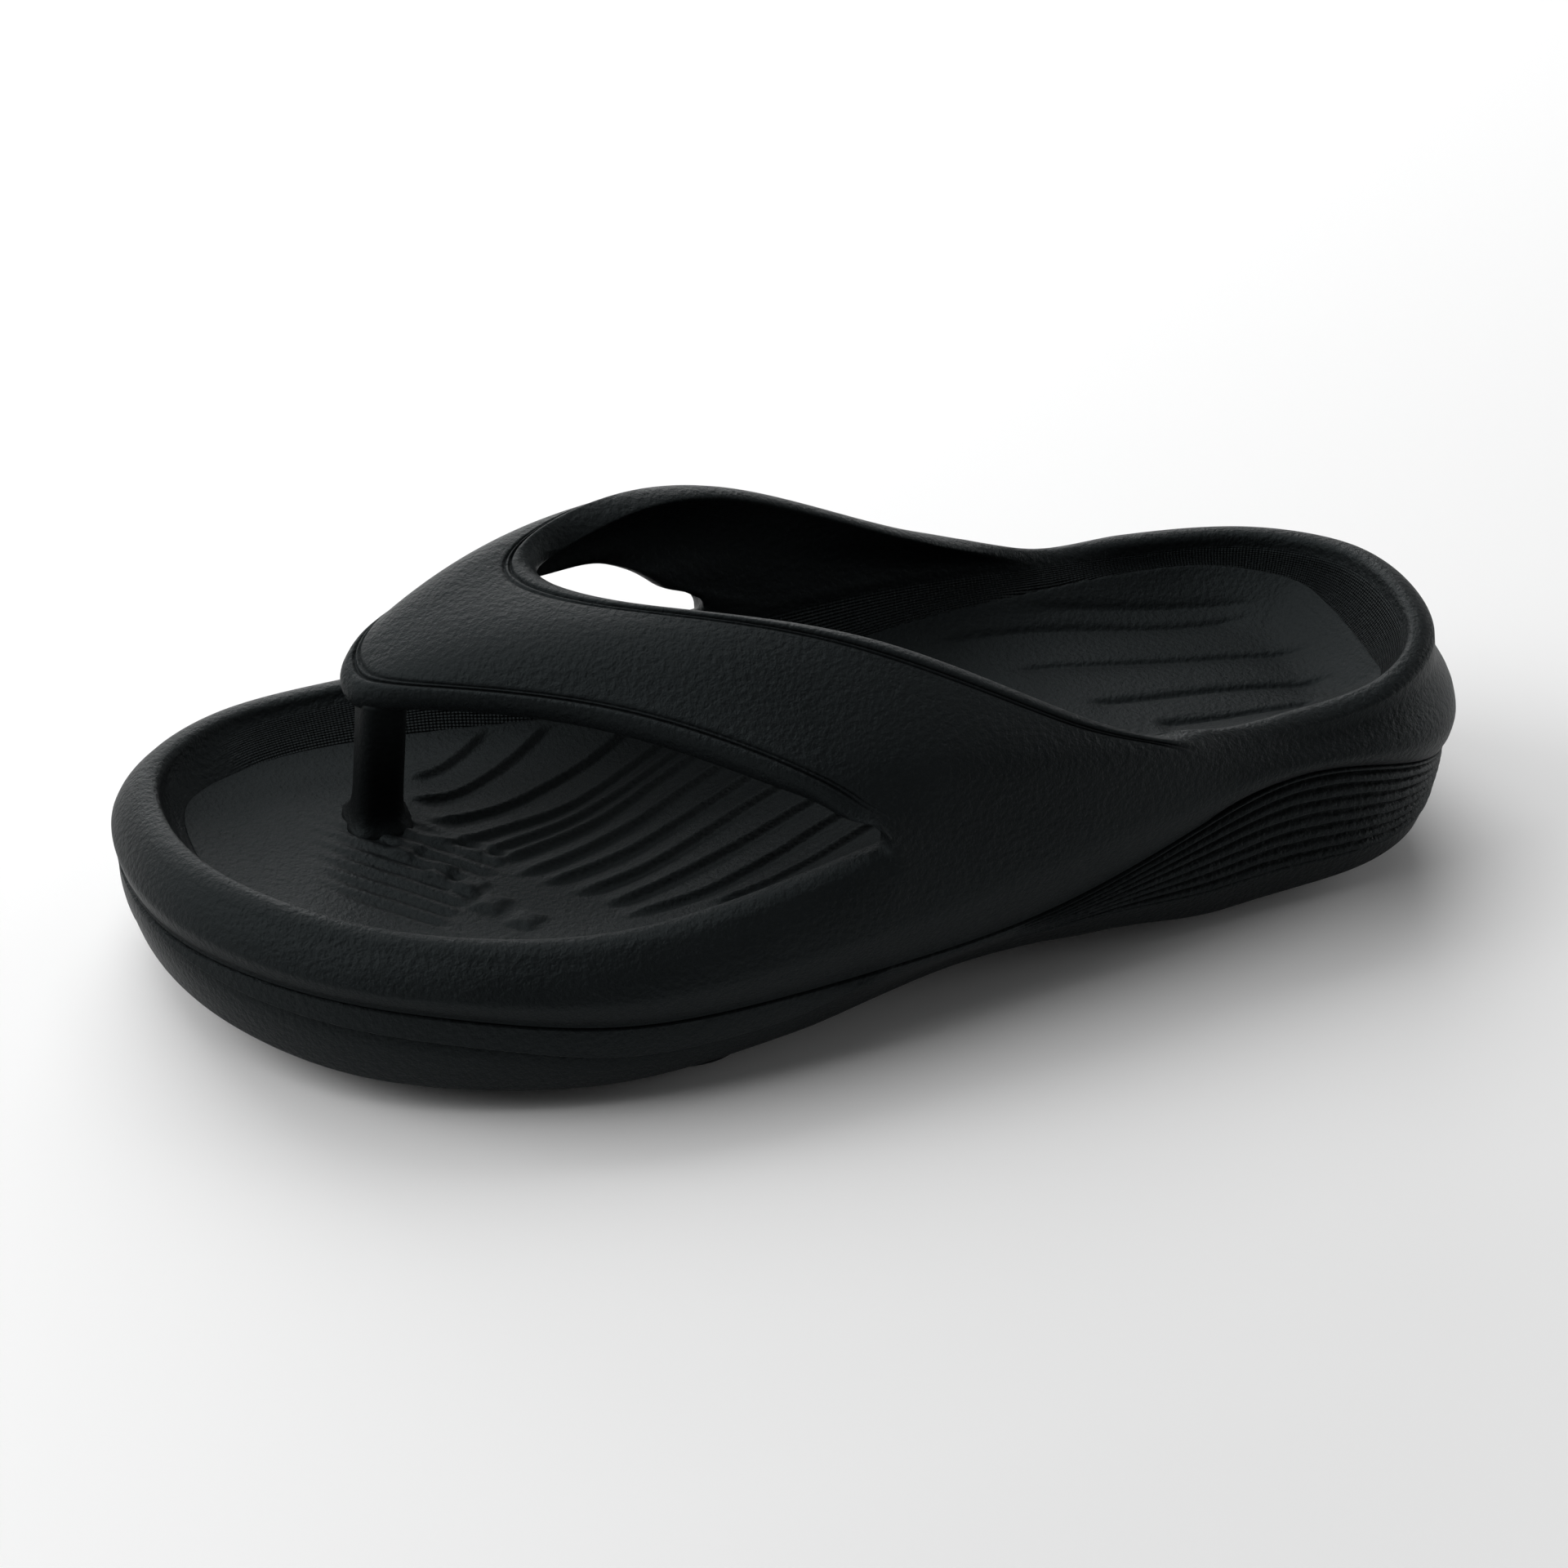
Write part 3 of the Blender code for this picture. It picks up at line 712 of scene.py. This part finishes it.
def line_distance(x, y, points, closeness=14):
    """Signed distance to a smooth line, + on its right, and the share of the line passed."""
    last = len(points) - 1
    line, slope = spline(points, np.linspace(0, last, last * closeness + 1))
    passed = np.concatenate([[0], np.cumsum(np.linalg.norm(np.diff(line, axis=0), axis=1))])
    nearest = np.full(x.shape, 1e9)
    distance = np.zeros(x.shape)
    share = np.zeros(x.shape)
    for (px, py), (tx, ty), start in zip(line, unit(slope), passed):
        dx, dy = x - px, y - py
        gap = dx * dx + dy * dy
        nearer = gap < nearest
        nearest[nearer] = gap[nearer]
        distance[nearer] = (dx * ty - dy * tx)[nearer]
        share[nearer] = ((start + dx * tx + dy * ty) / passed[-1])[nearer]
    return distance, share


def fade_ends(share):
    """1 along a line, falling to 0 at its two ends."""
    return smooth(share / 0.12) * smooth((1 - share) / 0.15)


def groove_relief(x, y):
    """V grooves of the heel, steep on their medial side and easing up on the other."""
    relief = np.zeros(x.shape)
    for points in HEEL_GROOVES:
        distance, share = line_distance(x, y, points)
        fall = np.where(distance < 0, -distance / GROOVE_STEEP, distance / GROOVE_EASY)
        relief -= GROOVE_DEPTH * np.exp(-fall) * fade_ends(share)
    return relief


def step_relief(x, y):
    """Fanned steps of the forefoot: each rises slowly to its line and drops steeply past it."""
    measured = [line_distance(x, y, points) for points in FOREFOOT_STEPS]
    distance, share = np.array(measured).swapaxes(0, 1)
    count = len(FOREFOOT_STEPS)
    passed = (distance > 0).sum(axis=0)
    before, after = np.clip(passed - 1, 0, count - 1), np.clip(passed, 0, count - 1)

    def pick(values, which):
        """Each point's value for the line numbered in `which`."""
        return np.take_along_axis(values, which[None], axis=0)[0]

    left, right = pick(distance, before), pick(distance, after)
    fraction = np.clip(left / np.maximum(left - right, 1e-6), 0, 1)
    fraction = np.where(passed == 0, 1, fraction)
    fraction = np.where(passed == count, 0, fraction)
    reached = pick(share, before) * (1 - fraction) + pick(share, after) * fraction
    drop = np.exp(-(np.maximum(left, 0) / 0.7) ** 2) * (passed > 0)
    height = fraction ** STEP_CURVE - STEP_SINK + drop
    height = np.where(passed == 0, 0.65 * np.exp(right / 3.5), height)
    height = np.where(passed == count, height * np.exp(-left / 3), height)
    return STEP_HEIGHT * height * fade_ends(reached)


def toe_relief(x, y):
    """Fine lines in front of the post and a row of diamond studs beside them."""
    across = (x - y + 232) / math.sqrt(2)
    along = (x + y - 195) / math.sqrt(2)
    zone = smooth((17 - np.abs(across)) / 5) * smooth(along / 4) * smooth((52 - along) / 30)
    zone = zone * smooth((247 - y) / 12)
    relief = TOE_LINE_HEIGHT * np.cos(across * 2 * math.pi / TOE_LINE_PITCH) * zone
    for nx, ny in NUBS:
        reach = np.abs(x - nx) / NUB_HALF[0] + np.abs(y - ny) / NUB_HALF[1]
        relief += NUB_HEIGHT * smooth(1.4 - reach)
    return relief


def build_footbed(material):
    """The pad in the tray: dished along its border, with steps, grooves and fine lines."""
    line = Contour(np.linspace(0, len(STATIONS), 2000, endpoint=False))
    loop = line.ring(line.floor - PAD_OVERLAP, 0)[:, :2]
    plan = plan_grid(loop, FOOTBED_ROWS, FOOTBED_COLUMNS)
    x, y = plan[..., 0], plan[..., 1]
    base = ease(FLOOR_HEIGHT, y)
    border = np.full(x.shape, 1e9)
    for px, py in loop[::2]:
        border = np.minimum(border, np.hypot(x - px, y - py))
    dish = ease(DISH_RISE, y) * np.clip(1 - border / DISH_WIDTH, 0, 1) ** 2
    relief = groove_relief(x, y) + step_relief(x, y) + toe_relief(x, y)
    relief = relief * smooth((border - 0.5) / 4)
    mesh = slab("footbed_pad", plan, base + dish + relief, base - PAD_THICKNESS)
    return show("footbed_pad", mesh, material, ["footbed"])


# ---- sole ----
RIB_COUNT = 7.5
RIB_DEPTH = 1.8
RIB_SHAPE = ((0, 0.17, 0.38, 0.74, 0.84, 1), (0, 0, 0.72, 1, 0, 0))
BAND_HEIGHT = 1.0
BAND_GROOVE = 2.0
BAND_GROOVE_FALL = 2.4
TOE_BAND = (
    (118, 0), (138, 0), (150, 2.5), (165, 6), (195, 6.8), (220, 5.6), (245, 5),
    (262, 4), (280, 0.6),
)


def rib_relief(line, t):
    """Stepped ribs that fan out from the waist to the heel, below the parting line."""
    reach = smooth((116 - line.y) / 16)[None]
    low = 0.70 + 0.06 * smooth((60 - line.y) / 50)[None]
    place = t[:, None] / low * RIB_COUNT
    step = (place + 0.55) % 1
    profile = np.interp(step, *RIB_SHAPE)
    inside = smooth((RIB_COUNT - place) / 0.35) * (place > 0)
    return RIB_DEPTH * (profile - 0.8) * inside * reach


def band_relief(line, height):
    """The raised band around the toe, between the parting line and a second, deeper line."""
    width = ease(TOE_BAND, line.y)[None]
    above = height - line.parting + width
    on_band = smooth((above + 0.25) / 0.5)
    band = BAND_HEIGHT * (1 - np.clip(above / np.maximum(width, 0.5), 0, 1))
    below = -BAND_GROOVE * np.exp(np.clip(above, -20, 0) / BAND_GROOVE_FALL)
    return (on_band * band + (1 - on_band) * below) * smooth(width / 2)


def build_sole(material):
    """The foam sole, from its seat inside the upper, over the ribbed side, to its underside."""
    at = np.arange(len(STATIONS) * SOLE_SAMPLES) / SOLE_SAMPLES
    line = Contour(at)
    foot = np.where(line.lateral[:, None], ease(LATERAL_FOOT, line.y), ease(MEDIAL_FOOT, line.y))
    foot_inset, foot_z = foot.T
    t = np.linspace(0, 1, SOLE_ROWS + 1)
    lip = LIP_INSET + SOLE_LIP_TUCK * line.heel
    top = line.ring(lip, line.parting - 0.35)
    swell = line.ring(0.5 + 1.0 * line.heel, line.parting * 0.7 + foot_z * 0.3)
    lower = line.ring(foot_inset - 1.5, foot_z + 5)
    bottom = line.ring(foot_inset, foot_z)
    side = bezier(top, swell, lower, bottom, t)
    relief = rib_relief(line, t) + band_relief(line, side[..., 2])
    outward = -np.column_stack([line.inward, np.zeros(len(at))])
    side = side + outward[None] * relief[..., None]
    under = line.level_ring(foot_inset + 8, SOLE_BOTTOM)
    turn = line.ring(foot_inset + 2.2, foot_z * 0.45 + under[:, 2] * 0.55)
    leave, arrive = side[-1] * 0.4 + turn * 0.6, turn * 0.5 + under * 0.5
    curl = bezier(side[-1], leave, arrive, under, np.linspace(0, 1, 9))[1:]
    inner_under = [line.level_ring(foot_inset + inset, SOLE_BOTTOM) for inset in (14, 22)]
    seat = [line.level_ring(11, FLOOR_HEIGHT, -7.7), line.ring(lip + 1.6, line.parting - 0.3)]
    work = Patchwork()
    ids = work.add(np.concatenate([np.stack(seat), side, curl, np.stack(inner_under)]))
    work.quads(ids, closed=True)
    extra = work.across(ids[0]) + work.across(ids[-1])
    mesh = work.mesh("sole", extra)
    return show("sole_body", mesh, material, ["lower_sole"])


# ---- toe post and treads ----
TREAD_ROWS = 180
TREAD_COLUMNS = 150
LUG_PITCH = 7
LUG_DEPTH = 1.5
ZIGZAG_PITCH = 20
ZIGZAG_SLOPE = 0.6
TREAD_BORDER = 9


def rounded_section(half_x, half_y, centre, height, squareness, sides=64):
    """A level ring between an ellipse and a rectangle; more squareness is nearer the rectangle."""
    turn = np.arange(sides) * 2 * math.pi / sides
    power = 2 / squareness
    x = centre[0] + half_x * np.sign(np.cos(turn)) * np.abs(np.cos(turn)) ** power
    y = centre[1] + half_y * np.sign(np.sin(turn)) * np.abs(np.sin(turn)) ** power
    return np.column_stack([x, y, np.full(sides, height)])


def build_post(material):
    """The toe post, flared at the footbed and leaning back a little towards the strap."""
    floor = float(ease(FLOOR_HEIGHT, np.array([POST_CENTRE[1]]))[0])
    rows = []
    for height in np.concatenate([[floor - 3], np.linspace(floor - 0.2, POST_TOP, 46)]):
        rise = max(height - floor, 0)
        flare = POST_FLARE * math.exp(-(rise / POST_FLARE_FALL))
        half_x, half_y = POST_HALF[0] + flare, POST_HALF[1] + flare * 0.9
        centre = (POST_CENTRE[0], POST_CENTRE[1] - POST_LEAN * (rise / (POST_TOP - floor)))
        rows.append(rounded_section(half_x, half_y, centre, height, POST_SQUARENESS))
    work = Patchwork()
    ids = work.add(np.stack(rows))
    work.quads(ids, closed=True)
    mesh = work.mesh("post", [ids[0], ids[-1]])
    return show("post", mesh, material, ["toe_post"])


def build_tread(name, corners, material, node):
    """A rubber pad under the sole, cut into zigzag lugs and tapering into its border."""
    at = np.linspace(0, len(corners), 400, endpoint=False)
    loop = spline(corners, at, closed=True)[0]
    plan = plan_grid(loop, TREAD_ROWS, TREAD_COLUMNS)
    x, y = plan[..., 0], plan[..., 1]
    zigzag = ZIGZAG_SLOPE * np.abs((x % ZIGZAG_PITCH) - ZIGZAG_PITCH / 2)
    bar = np.cos((y + zigzag) * 2 * math.pi / LUG_PITCH)
    channel = smooth((bar + 0.2) / 0.5)
    border = np.minimum.reduce([x - x[:, :1], x[:, -1:] - x, y - y.min(), y.max() - y])
    seat = min(height for _, height in SOLE_BOTTOM)
    bottom = np.maximum(LUG_DEPTH * (1 - channel), seat * (1 - smooth(border / TREAD_BORDER)))
    mesh = slab(name, plan, np.full(x.shape, seat + 0.5), bottom, flat_top=True)
    return show(name, mesh, material, [node])


# ---- materials ----
FOAM_DARK = (0.0052, 0.0062, 0.0067)
SKIN_RELIEF = 0.0005
SPECULAR = 0.12
SPECULAR_TINT = (0.84, 1.0, 1.03, 1)


def knurl_bump(nodes, links):
    """Rows of small studs over the inner wall, laid out by the mesh's own knurl coordinates."""
    def combine(kind, a, b):
        """A math node's output; a and b are numbers or sockets."""
        node = nodes.new("ShaderNodeMath")
        node.operation = kind
        for socket, value in zip(node.inputs, (a, b)):
            if isinstance(value, (int, float)):
                socket.default_value = value
            else:
                links.new(value, socket)
        return node.outputs["Value"]

    source = nodes.new("ShaderNodeAttribute")
    source.attribute_name = "knurl"
    parts = nodes.new("ShaderNodeSeparateXYZ")
    links.new(source.outputs["Vector"], parts.inputs["Vector"])
    scale = 2 * math.pi / KNURL_PITCH
    waves = []
    for sign in (1, -1):
        slanted = combine("MULTIPLY_ADD", parts.outputs["Y"], sign)
        links.new(parts.outputs["X"], slanted.node.inputs[2])
        waves.append(combine("SINE", combine("MULTIPLY", slanted, scale), 0))
    studs = combine("MULTIPLY", combine("MULTIPLY", *waves), parts.outputs["Z"])
    bump = nodes.new("ShaderNodeBump")
    bump.inputs["Strength"].default_value = 1.0
    bump.inputs["Distance"].default_value = KNURL_RELIEF
    links.new(studs, bump.inputs["Height"])
    return bump.outputs["Normal"]


def foam_material(name, dark, light, roughness, grain, bump, knurled=False):
    """Moulded foam: a fine pebbled skin, slightly uneven in colour and gloss."""
    made = bpy.data.materials.new(name)
    made.use_nodes = True
    nodes, links = made.node_tree.nodes, made.node_tree.links
    shader = nodes["Principled BSDF"]
    place = nodes.new("ShaderNodeTexCoord")

    def texture(kind, scale, **settings):
        """A texture node over the object's own coordinates."""
        node = nodes.new(kind)
        links.new(place.outputs["Object"], node.inputs["Vector"])
        node.inputs["Scale"].default_value = scale
        for key, value in settings.items():
            node.inputs[key].default_value = value
        return node

    def ranged(value, low, high, from_low, from_high):
        """The value's range from_low to from_high spread over low to high."""
        node = nodes.new("ShaderNodeMapRange")
        links.new(value, node.inputs["Value"])
        limits = {"From Min": from_low, "From Max": from_high, "To Min": low, "To Max": high}
        for key, number in limits.items():
            node.inputs[key].default_value = number
        return node.outputs["Result"]

    pebbles = texture("ShaderNodeTexVoronoi", grain)
    pebbles.feature = "SMOOTH_F1"
    fine = texture("ShaderNodeTexNoise", grain * 2.3, Detail=3.0, Roughness=0.6)
    patches = texture("ShaderNodeTexNoise", 28.0, Detail=4.0, Roughness=0.55)
    blend = nodes.new("ShaderNodeMix")
    blend.data_type = "FLOAT"
    blend.inputs["Factor"].default_value = 0.5
    links.new(fine.outputs["Fac"], blend.inputs[2])
    links.new(pebbles.outputs["Distance"], blend.inputs[3])
    relief = nodes.new("ShaderNodeBump")
    relief.inputs["Strength"].default_value = bump
    relief.inputs["Distance"].default_value = SKIN_RELIEF
    if knurled:
        studs = knurl_bump(nodes, links)
        links.new(studs, relief.inputs["Normal"])
    links.new(blend.outputs[0], relief.inputs["Height"])
    links.new(relief.outputs["Normal"], shader.inputs["Normal"])

    colour = nodes.new("ShaderNodeMix")
    colour.data_type = "RGBA"
    colour.inputs[6].default_value = (*dark, 1)
    colour.inputs[7].default_value = (*light, 1)
    links.new(ranged(patches.outputs["Fac"], 0, 1, 0.35, 0.7), colour.inputs["Factor"])
    links.new(colour.outputs[2], shader.inputs["Base Color"])
    shader.inputs["Specular IOR Level"].default_value = SPECULAR
    shader.inputs["Specular Tint"].default_value = SPECULAR_TINT
    gloss = ranged(patches.outputs["Fac"], *roughness, 0.3, 0.7)
    links.new(gloss, shader.inputs["Roughness"])
    return made


# ---- studio ----
CAMERA_AIM = (1.634, 5.890, 29.579)
CAMERA_DISTANCE = 734.1
CAMERA_AZIMUTH = 19.96
CAMERA_ELEVATION = 35.12
CAMERA_ROLL = 2.0
CAMERA_LENS = 82.44
FLOOR_SIZE = 24
WORLD_STRENGTH = 0.063
LIGHT_AIM = (0, 0, 0.02)
LIGHTS = (
    ("high_behind", (0.9, 0.0, 1.1), (1.4, 1.0), 9),
    ("overhead", (0.15, 0.45, 1.35), (1.3, 1.3), 6.5),
    ("low_behind", (1.4, 0.0, 0.35), (1.6, 0.6), 11),
    ("toe_side", (0.2, 1.2, 0.9), (1.2, 0.8), 11),
    ("heel_side", (0.1, -1.4, 0.3), (1.2, 0.5), 6),
)


def build_camera():
    """A camera on the lateral side, turned towards the toe and tipped down."""
    turn, lift, roll = map(math.radians, (CAMERA_AZIMUTH, CAMERA_ELEVATION, CAMERA_ROLL))
    level_part = math.cos(lift)
    back = Vector((-math.cos(turn) * level_part, math.sin(turn) * level_part, math.sin(lift)))
    level = (-back).cross(Vector((0, 0, 1))).normalized()
    upright = level.cross(-back)
    right = level * math.cos(roll) + upright * math.sin(roll)
    up = upright * math.cos(roll) - level * math.sin(roll)
    data = bpy.data.cameras.new("camera")
    data.lens = CAMERA_LENS
    data.sensor_width = 36
    data.clip_start = 0.05
    camera = bpy.data.objects.new("camera", data)
    camera.matrix_world = Matrix((right, up, back)).transposed().to_4x4()
    camera.location = (Vector(CAMERA_AIM) + back * CAMERA_DISTANCE) * MM
    bpy.context.scene.collection.objects.link(camera)
    bpy.context.scene.camera = camera


def build_floor():
    """A large sheet of pale paper under the shoe."""
    bpy.ops.mesh.primitive_plane_add(size=FLOOR_SIZE)
    floor = bpy.context.object
    floor.name = "floor"
    made = bpy.data.materials.new("floor_paper")
    made.use_nodes = True
    shader = made.node_tree.nodes["Principled BSDF"]
    shader.inputs["Base Color"].default_value = (0.94, 0.94, 0.94, 1)
    shader.inputs["Roughness"].default_value = 0.9
    floor.data.materials.append(made)


def add_light(name, place, size, power):
    """A soft rectangular light turned towards the shoe."""
    data = bpy.data.lights.new(name, "AREA")
    data.shape = "RECTANGLE"
    data.size, data.size_y = size
    data.energy = power
    light = bpy.data.objects.new(name, data)
    light.location = place
    light.rotation_euler = (Vector(LIGHT_AIM) - Vector(place)).to_track_quat("-Z", "Y").to_euler()
    bpy.context.scene.collection.objects.link(light)


def build_lights():
    """Soft lights behind, above and at both ends of the shoe, and a dim world."""
    world = bpy.data.worlds.new("studio")
    world.use_nodes = True
    background = world.node_tree.nodes["Background"]
    background.inputs["Color"].default_value = (1, 1, 1, 1)
    background.inputs["Strength"].default_value = WORLD_STRENGTH
    bpy.context.scene.world = world
    for name, place, size, power in LIGHTS:
        add_light(name, place, size, power)
    bpy.context.scene.view_settings.view_transform = "Standard"


def main():
    foam = foam_material("foam_skin", FOAM_DARK, (0.0078, 0.0092, 0.0098), (0.42, 0.52), 900, 0.9,
                         knurled=True)
    padding = foam_material("footbed_foam", FOAM_DARK, (0.008, 0.0095, 0.01), (0.46, 0.58), 950,
                            0.8)
    # The post is the same foam as the strap; its darker colour here is painted shade, for the shade
    # it stands in under the strap.
    post_in_painted_shade = foam_material("post_foam_painted_shade", (0.0022, 0.0026, 0.0028), (0.0036, 0.0042, 0.0045),
                              (0.5, 0.6), 1000, 0.5)
    rubber = foam_material("tread_rubber", (0.008, 0.0085, 0.009), (0.014, 0.015, 0.0155),
                           (0.65, 0.8), 1200, 0.5)
    build_upper(foam)
    build_footbed(padding)
    build_sole(foam)
    build_post(post_in_painted_shade)
    build_tread("forefoot_tread", FOREFOOT_GRIP, rubber, "forefoot_grip")
    build_tread("heel_tread", HEEL_GRIP, rubber, "heel_grip")
    build_camera()
    build_floor()
    build_lights()


main()
